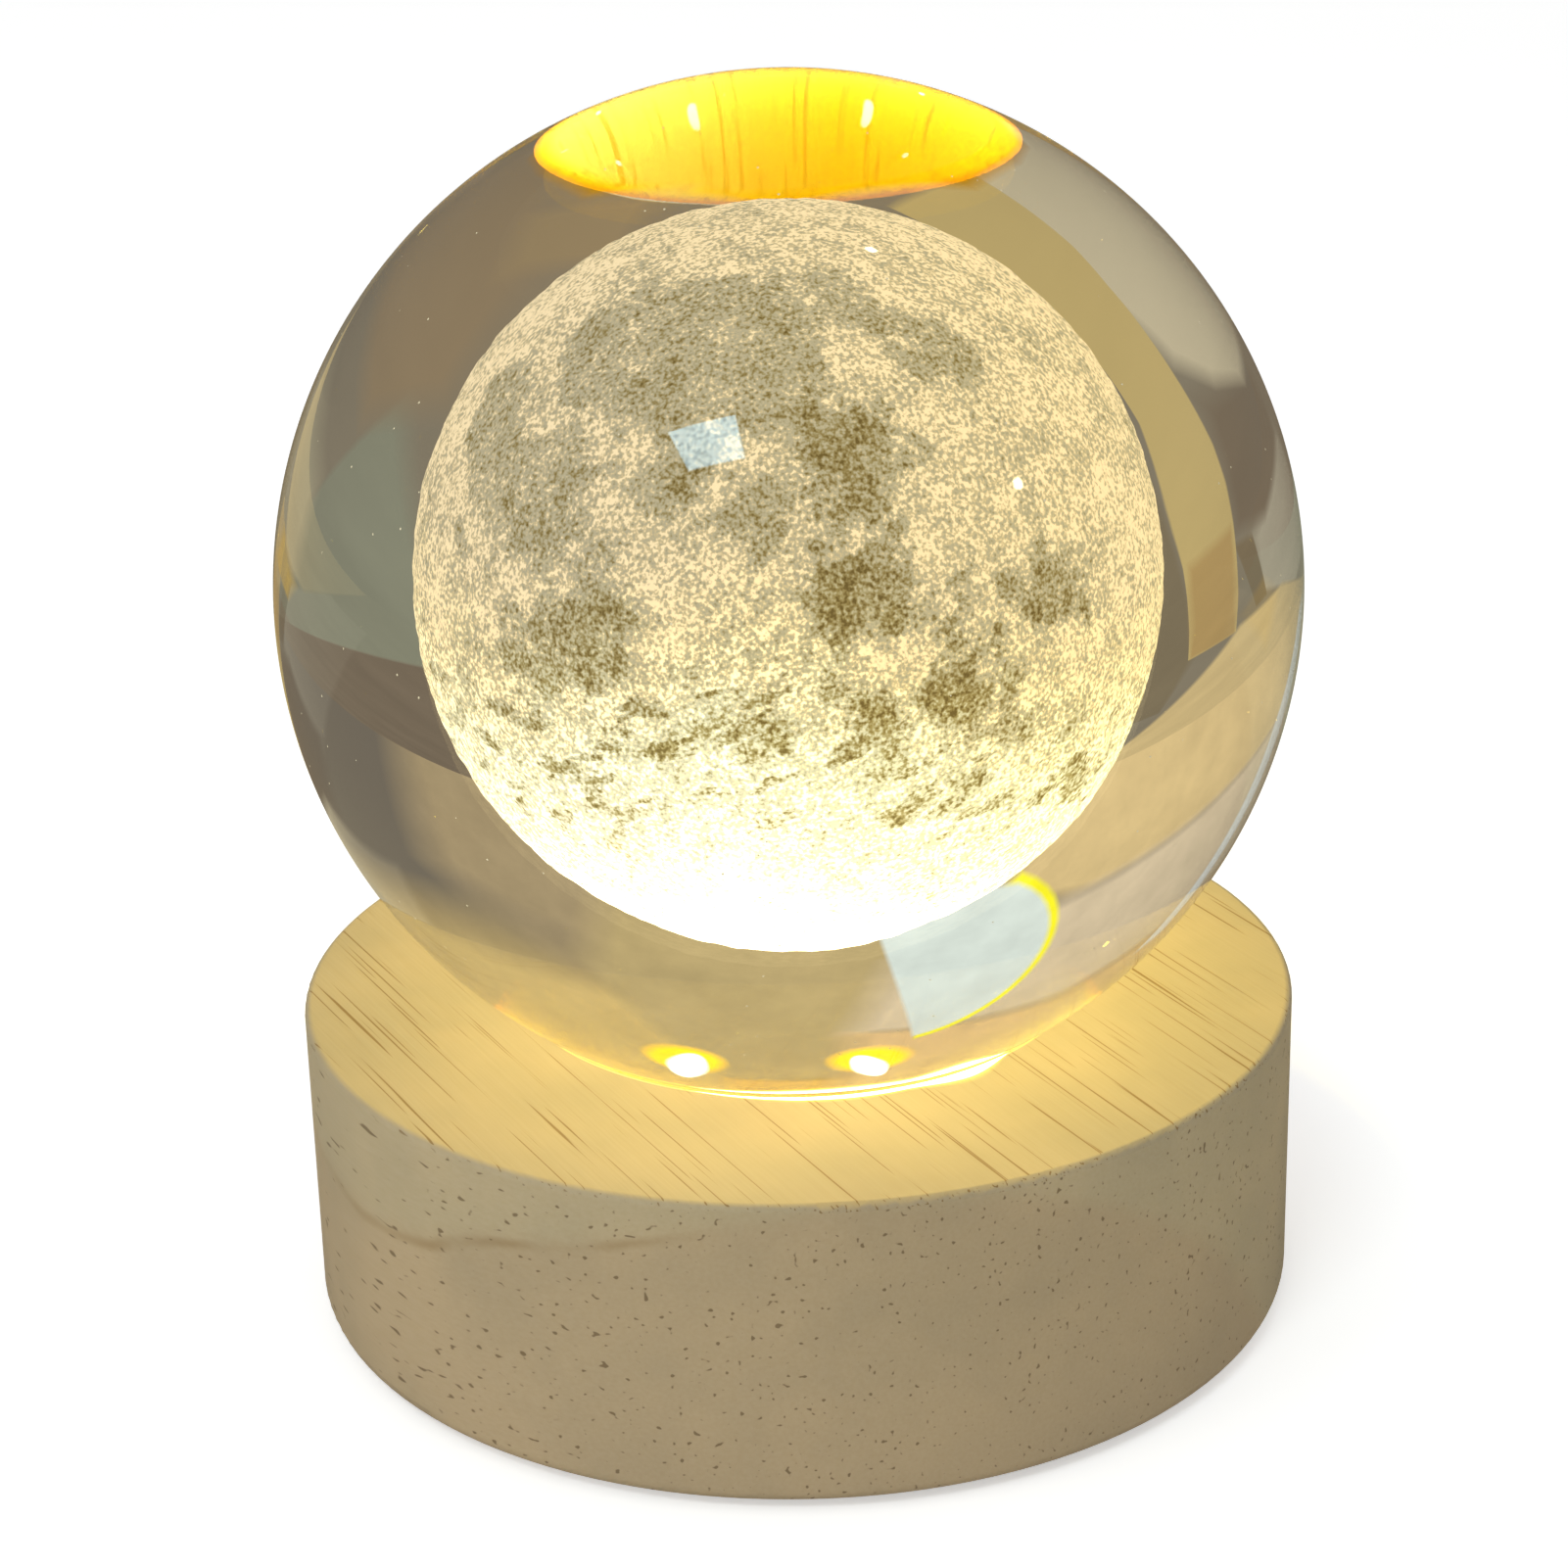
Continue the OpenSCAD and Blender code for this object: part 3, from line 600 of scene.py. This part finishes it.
def beech():
    """Beech, turned, sanded and left bare: matt and pale, with short brown pores along the fibre
    that end as dots where the side cuts across it. Inside the seat the LEDs make it glow."""
    made, tree = blank("beech_turned_sanded")
    place = put(tree, "TexCoord").outputs["Object"]
    colour, pores, threads = wood_colour(tree, place)
    light, strength = seat_light(tree, place)
    roughness = put(tree, "MapRange", {"Value": threads, "To Min": 0.5, "To Max": 0.75})
    low = put(tree, "Math", {0: threads, 1: pores}, operation="SUBTRACT")
    bump = put(tree, "Bump", {"Height": low, "Strength": 0.25, "Distance": 0.1 * MM})
    wood = put(tree, "BsdfPrincipled", {"Base Color": colour, "Roughness": roughness, "Normal": bump,
                                        "Emission Color": light, "Emission Strength": strength})
    put(tree, "OutputMaterial", {"Surface": wood})
    return made


# Glass and the engraving. The real marks are finer: they are drawn as coarse as they need to show
DUST_SPACING = 2.1 * MM
DUST_SHARE = 0.042
GRAIN = 0.27 * MM
CLUMP = 1.4 * MM
RAGGED = 5 * MM
SMEAR = (1 / (4.5 * MM), 1 / (3 * MM), 1 / (1.5 * MM))
SMEAR_RISE = math.radians(22)
ENGRAVING_GLOW = 6.0
SPARK_GLOW = 25.0
MOON_DENT = 0.16 * MM
MOON_ROUGH = 0.9 * MM
MOON_ROUGH_DEPTH = 0.10 * MM
MOON_HILLS = 6 * MM
MOON_HILL_HEIGHT = 0.12 * MM
BALL_DIVISIONS = 7


def crystal_glass():
    """Optical glass, ground and polished: perfectly clear, so that it turns and doubles what is
    behind and under it. A few specks of dust lie on it."""
    made, tree = blank("crystal_glass_polished")
    clear = put(tree, "BsdfPrincipled", {"Base Color": linear("#FEFEFD"), "Roughness": 0.0,
                                         "IOR": GLASS_IOR, "Transmission Weight": 1.0})
    place = put(tree, "TexCoord").outputs["Object"]
    cells = put(tree, "TexVoronoi", {"Vector": place, "Scale": 1 / DUST_SPACING})
    speck = put(tree, "Math", {0: cells.outputs["Distance"], 1: DUST_SHARE}, operation="LESS_THAN")
    dust = put(tree, "BsdfDiffuse", {"Color": linear("#E8DCB8")})
    dusty = put(tree, "MixShader", {0: speck, 1: clear, 2: dust})
    put(tree, "OutputMaterial", {"Surface": dusty})
    return made


# Plains of the moon as the viewer sees them: right, up and radius, all in shares of its disc's
# radius, and how dark they are
PLAINS = [(-0.19, 0.58, 0.28, 1.0), (-0.50, 0.54, 0.17, 1.0), (0.14, 0.76, 0.08, 0.9),
          (0.38, 0.62, 0.12, 1.1), (-0.76, 0.40, 0.16, 1.0), (-0.60, 0.34, 0.12, 1.0),
          (-0.42, 0.26, 0.12, 1.0), (-0.80, 0.18, 0.14, 1.0), (-0.64, 0.18, 0.12, 1.0),
          (-0.21, 0.36, 0.11, 1.0), (-0.54, 0.00, 0.07, 1.1), (-0.47, -0.19, 0.09, 1.3),
          (-0.76, -0.11, 0.08, 1.4), (-0.14, 0.19, 0.10, 1.2), (-0.33, 0.22, 0.07, 1.1),
          (0.20, 0.31, 0.14, 1.5), (0.27, 0.15, 0.07, 1.4), (0.26, 0.01, 0.13, 1.6),
          (0.69, -0.01, 0.10, 1.5), (0.47, -0.26, 0.10, 1.7), (0.57, -0.38, 0.08, 1.7),
          (0.22, -0.39, 0.05, 1.7), (-0.10, -0.40, 0.05, 1.5), (0.48, -0.56, 0.06, 1.7),
          (-0.80, 0.02, 0.07, 0.8), (-0.66, 0.29, 0.16, 1.1), (-0.62, -0.12, 0.09, 1.2),
          (0.38, -0.06, 0.09, 1.4)]

# Single marks that catch the light
SPARKS = [(0.22, 0.87), (0.61, 0.25)]


def moon_direction(right, up):
    """The direction, from the moon's centre, of what the viewer sees at a place on its disc. The
    ball's front bends each ray inwards, so more than half of the moon shows."""
    share = math.hypot(right, up)
    outside = share * GLASS_IOR * MOON_R / BALL_R
    bend = math.asin(outside) - math.asin(outside / GLASS_IOR)
    to_camera = CAMERA_AT - BALL_AT
    angle = math.asin(share) + bend - share * GLASS_IOR * MOON_R / to_camera.length
    axis = to_camera.normalized()
    sideways = view_right * right + view_up * up
    sideways = (sideways - axis * sideways.dot(axis)).normalized()
    return sideways * math.sin(angle) + axis * math.cos(angle)


def engraving():
    """Marks of a laser inside the glass, frosted: bright grains where they lie close, greyer plains
    where they are few, and white-hot towards the LEDs. The LEDs' light on them is painted in as glow."""
    made, tree = blank("laser_engraved_frost")
    place = put(tree, "TexCoord").outputs["Object"]
    centred = put(tree, "VectorMath", {0: place, 1: MOON_AT}, operation="SUBTRACT")
    outward = put(tree, "VectorMath", {0: centred}, operation="NORMALIZE")

    # Plains: soft round patches with a ragged edge, and a few from noise all round
    ragged = put(tree, "TexNoise", {"Vector": centred, "Scale": 1 / RAGGED, "Detail": 6.0,
                                    "Roughness": 0.65})
    plains = put(tree, "MapRange", {"Value": ragged.outputs["Fac"], "From Min": 0.56, "From Max": 0.68,
                                    "To Max": 0.6})
    for right, up, size, depth in PLAINS:
        apart = put(tree, "VectorMath", {0: outward, 1: moon_direction(right, up)}, operation="DISTANCE")
        rough = put(tree, "Math", {0: ragged.outputs["Fac"], 1: -0.9, 2: apart.outputs["Value"]},
                    operation="MULTIPLY_ADD")
        patch = put(tree, "MapRange", {"Value": rough, "From Min": 1.2 * size - 0.38,
                                       "From Max": 1.2 * size - 0.50, "To Max": depth},
                    interpolation_type="SMOOTHSTEP")
        plains = put(tree, "Math", {0: plains, 1: patch}, operation="MAXIMUM")

    # The light comes from below, strongest in the middle
    parts = put(tree, "SeparateXYZ", {"Vector": outward})
    sideways = put(tree, "Math", {0: parts.outputs["X"], 1: 0.2}, operation="ADD")
    aside = put(tree, "Math", {0: sideways}, operation="ABSOLUTE")
    aim = put(tree, "Math", {0: aside, 1: 0.35, 2: parts.outputs["Z"]}, operation="MULTIPLY_ADD")

    # Lower down, smears of fewer marks rise to the right
    turned = put(tree, "Mapping", {"Vector": centred, "Rotation": (0, SMEAR_RISE, 0)})
    drawn = put(tree, "Mapping", {"Vector": turned, "Scale": SMEAR})
    smears = put(tree, "TexNoise", {"Vector": drawn, "Scale": 1.0, "Detail": 4.0, "Roughness": 0.6})
    smeared = put(tree, "MapRange", {"Value": smears.outputs["Fac"], "From Min": 0.54, "From Max": 0.60,
                                     "To Max": 1.7}, interpolation_type="SMOOTHSTEP")
    low = put(tree, "MapRange", {"Value": aim, "From Min": 0.16, "From Max": 0.0})
    lowest = put(tree, "MapRange", {"Value": aim, "From Min": -0.52, "From Max": -0.34})
    between = put(tree, "Math", {0: low, 1: lowest}, operation="MULTIPLY")
    smeared = put(tree, "Math", {0: smeared, 1: between}, operation="MULTIPLY")
    plains = put(tree, "Math", {0: plains, 1: smeared}, operation="MAXIMUM")

    # Grains in clumps, few on the plains and crowded towards the limb
    grain = put(tree, "TexNoise", {"Vector": centred, "Scale": 1 / GRAIN, "Detail": 1.0})
    clump = put(tree, "TexNoise", {"Vector": centred, "Scale": 1 / CLUMP, "Detail": 2.0})
    clumped = put(tree, "Math", {0: clump.outputs["Fac"], 1: 0.4, 2: grain.outputs["Fac"]},
                  operation="MULTIPLY_ADD")
    limb = put(tree, "LayerWeight", {"Blend": 0.3})
    uncrowded = put(tree, "Math", {0: ragged.outputs["Fac"], 1: -0.35, 2: clumped},
                    operation="MULTIPLY_ADD")
    crowded = put(tree, "Math", {0: limb.outputs["Facing"], 1: 0.12, 2: uncrowded},
                  operation="MULTIPLY_ADD")
    marked = put(tree, "Math", {0: plains, 1: -0.18, 2: crowded}, operation="MULTIPLY_ADD")
    marks = put(tree, "ValToRGB", {"Fac": marked},
                stops=[(0.02, linear("#6C5A30")), (0.16, linear("#8E7C4C")), (0.27, linear("#A2946A")),
                       (0.36, linear("#B5AB8B")), (0.44, linear("#BAAF8E")), (0.53, linear("#CFBC8F")),
                       (0.66, linear("#FFE8B8"))])

    shaded = put(tree, "Math", {0: ragged.outputs["Fac"], 1: -0.5, 2: aim}, operation="MULTIPLY_ADD")
    uneven = put(tree, "Math", {0: clumped, 1: -0.5, 2: shaded}, operation="MULTIPLY_ADD")
    height = put(tree, "MapRange", {"Value": uneven, "From Min": -1.60, "From Max": 0.40})
    heat = put(tree, "ValToRGB", {"Fac": height},
               stops=[(0.12, (1, 1, 1, 1)), (0.20, (0.72, 0.72, 0.66, 1)), (0.25, (0.52, 0.54, 0.51, 1)),
                      (0.30, (0.42, 0.45, 0.44, 1)), (0.41, (0.325, 0.355, 0.335, 1)),
                      (0.525, (0.245, 0.25, 0.215, 1)), (0.58, (0.205, 0.205, 0.175, 1)),
                      (0.72, (0.175, 0.175, 0.165, 1))])
    lit_marks = put(tree, "MixRGB", {"Fac": 1.0, "Color1": marks, "Color2": heat}, blend_type="MULTIPLY")
    # Painted shade: the glow is dimmer and cooler towards the left and fuller and warmer towards the right
    across = put(tree, "MapRange", {"Value": parts.outputs["X"], "From Min": -0.6, "From Max": 0.8})
    painted_side_shade = put(tree, "ValToRGB", {"Fac": across},
               stops=[(0.0, (0.80, 0.80, 0.86, 1)), (1.0, (0.99, 0.955, 0.85, 1))])
    lit_marks = put(tree, "MixRGB", {"Fac": 1.0, "Color1": lit_marks, "Color2": painted_side_shade},
                    blend_type="MULTIPLY")
    strength = ENGRAVING_GLOW
    for right, up in SPARKS:
        apart = put(tree, "VectorMath", {0: outward, 1: moon_direction(right, up)}, operation="DISTANCE")
        spark = put(tree, "MapRange", {"Value": apart.outputs["Value"], "From Min": 0.022,
                                       "From Max": 0.012, "To Max": SPARK_GLOW})
        strength = put(tree, "Math", {0: strength, 1: spark}, operation="ADD")
    dull = put(tree, "MixRGB", {"Fac": 1.0, "Color1": marks, "Color2": (0.2, 0.2, 0.2, 1)},
               blend_type="MULTIPLY")
    frost = put(tree, "BsdfPrincipled", {"Base Color": dull, "Roughness": 0.9, "Specular IOR Level": 0.0,
                                         "Emission Color": lit_marks, "Emission Strength": strength})
    put(tree, "OutputMaterial", {"Surface": frost})
    return made


def glass_ball():
    """The polished ball: finely divided, so that it shows no facets at its rim."""
    mesh = bpy.data.meshes.new("glass_ball")
    form = bmesh.new()
    bmesh.ops.create_icosphere(form, subdivisions=BALL_DIVISIONS, radius=BALL_R)
    bmesh.ops.translate(form, verts=form.verts, vec=BALL_AT)
    for face in form.faces:
        face.smooth = True
    form.to_mesh(mesh)
    form.free()
    mesh.materials.append(crystal_glass())
    made = bare_object("glass_ball", mesh)
    made.visible_shadow = False
    made.visible_diffuse = False
    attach(made, "ball")
    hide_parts("crystal_ball")


def moon_in_glass():
    """The engraved moon: a ball of marks, rough and slightly hilly."""
    mesh = bpy.data.meshes.new("moon_engraving")
    form = bmesh.new()
    bmesh.ops.create_icosphere(form, subdivisions=BALL_DIVISIONS, radius=MOON_R)
    for corner in form.verts:
        outward = corner.co.normalized()
        rough = noise.noise(corner.co / MOON_ROUGH) * MOON_ROUGH_DEPTH
        hills = noise.noise(corner.co / MOON_HILLS) * MOON_HILL_HEIGHT
        corner.co = outward * (MOON_R - MOON_DENT + rough + hills) + MOON_AT
    for face in form.faces:
        face.smooth = True
    form.to_mesh(mesh)
    form.free()
    mesh.materials.append(engraving())
    made = bare_object("moon_engraving", mesh)
    made.visible_shadow = False
    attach(made, "ball")
    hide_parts("engraved_moon")


glass_ball()
moon_in_glass()


# Finishes of the small pieces, and the spring
def led_lens():
    """Clear moulded epoxy over a lit chip: white-hot, with a warm rim."""
    made, tree = blank("led_epoxy_lit")
    rim = put(tree, "LayerWeight", {"Blend": 0.4})
    warm = put(tree, "MixRGB", {"Fac": rim.outputs["Facing"], "Color1": linear("#FFF6D8"),
                                "Color2": linear("#FFC23A")})
    lens = put(tree, "BsdfPrincipled", {"Base Color": linear("#FFE9B0"), "Roughness": 0.1,
                                        "Emission Color": warm, "Emission Strength": 12.0})
    put(tree, "OutputMaterial", {"Surface": lens})
    return made


def moulded(name, colour, roughness, grain_mm, depth_mm):
    """Moulded or extruded plastic or rubber: even, with a fine grain that softens its highlights."""
    made, tree = blank(name)
    place = put(tree, "TexCoord").outputs["Object"]
    grain = put(tree, "TexNoise", {"Vector": place, "Scale": 1 / (grain_mm * MM), "Detail": 3.0})
    shade = put(tree, "ValToRGB", {"Fac": grain.outputs["Fac"]},
                stops=[(0.3, linear("#E8E8E8")), (0.7, linear("#FFFFFF"))])
    toned = put(tree, "MixRGB", {"Fac": 1.0, "Color1": linear(colour), "Color2": shade},
                blend_type="MULTIPLY")
    rough = put(tree, "MapRange", {"Value": grain.outputs["Fac"], "To Min": roughness - 0.08,
                                   "To Max": roughness + 0.08})
    bump = put(tree, "Bump", {"Height": grain.outputs["Fac"], "Strength": 0.3, "Distance": depth_mm * MM})
    plastic = put(tree, "BsdfPrincipled", {"Base Color": toned, "Roughness": rough, "Normal": bump})
    put(tree, "OutputMaterial", {"Surface": plastic})
    return made


def bright_metal(name, colour, roughness, streak_mm):
    """Plated, drawn or soldered metal: mirror-like under fine streaks."""
    made, tree = blank(name)
    place = put(tree, "TexCoord").outputs["Object"]
    streak = put(tree, "TexNoise", {"Vector": place, "Scale": 1 / (streak_mm * MM), "Detail": 4.0})
    rough = put(tree, "MapRange", {"Value": streak.outputs["Fac"], "To Min": roughness - 0.1,
                                   "To Max": roughness + 0.1})
    bump = put(tree, "Bump", {"Height": streak.outputs["Fac"], "Strength": 0.2, "Distance": 0.02 * MM})
    metal = put(tree, "BsdfPrincipled", {"Base Color": linear(colour), "Metallic": 1.0, "Roughness": rough,
                                         "Normal": bump})
    put(tree, "OutputMaterial", {"Surface": metal})
    return made


def finishes():
    """Each material slot of the record with its finish."""
    return {
        "beech": beech(),
        "warm_led": led_lens(),
        "circuit_board": moulded("solder_mask_white", "#EDEDE6", 0.35, 0.4, 0.02),
        "chip_resistor": moulded("resistor_ceramic_black", "#1B1B1D", 0.4, 0.2, 0.01),
        "solder": bright_metal("solder_bright", "#C9C9CC", 0.3, 0.5),
        "zinc_steel": bright_metal("steel_zinc_plated", "#B9BCC2", 0.35, 0.15),
        "contact_brass": bright_metal("brass_bright", "#D8B76A", 0.25, 0.2),
        "port_plastic": moulded("nylon_moulded_black", "#1A1A1C", 0.5, 0.25, 0.03),
        "button_plastic": moulded("abs_moulded_light_grey", "#D2D2CE", 0.35, 0.25, 0.02),
        "red_insulation": moulded("pvc_extruded_red", "#B01C14", 0.45, 0.3, 0.02),
        "white_insulation": moulded("pvc_extruded_white", "#E6E6E2", 0.45, 0.3, 0.02),
        "black_insulation": moulded("pvc_extruded_black", "#1C1C1C", 0.45, 0.3, 0.02),
        "cover_plastic": moulded("abs_grained_black", "#232325", 0.6, 0.35, 0.06),
        "foot_rubber": moulded("rubber_moulded_grey", "#4A4A4A", 0.8, 0.3, 0.04),
    }


def dress_frame(made):
    """Gives each carried-over piece the finish of its slot."""
    for row in frame["record"]["subparts"]:
        node = frame["nodes"][row["node"]]
        if row["material_slot"] in made:
            node.data.materials.clear()
            node.data.materials.append(made[row["material_slot"]])


def return_spring():
    """The button's return spring, a mesh of its own that rides on the base."""
    coil = bare_object("return_spring", frame["nodes"]["switch_spring"].data.copy())
    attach(coil, "base")
    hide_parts("switch_spring")
    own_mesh(coil)


dress_frame(finishes())
return_spring()

# Render choices that belong to the scene
scene.view_settings.view_transform = "Standard"
scene.cycles.use_denoising = True
scene.cycles.caustics_reflective = False
scene.cycles.caustics_refractive = False
scene.cycles.max_bounces = 16
scene.cycles.transmission_bounces = 12
scene.cycles.glossy_bounces = 8
scene.cycles.transparent_max_bounces = 24
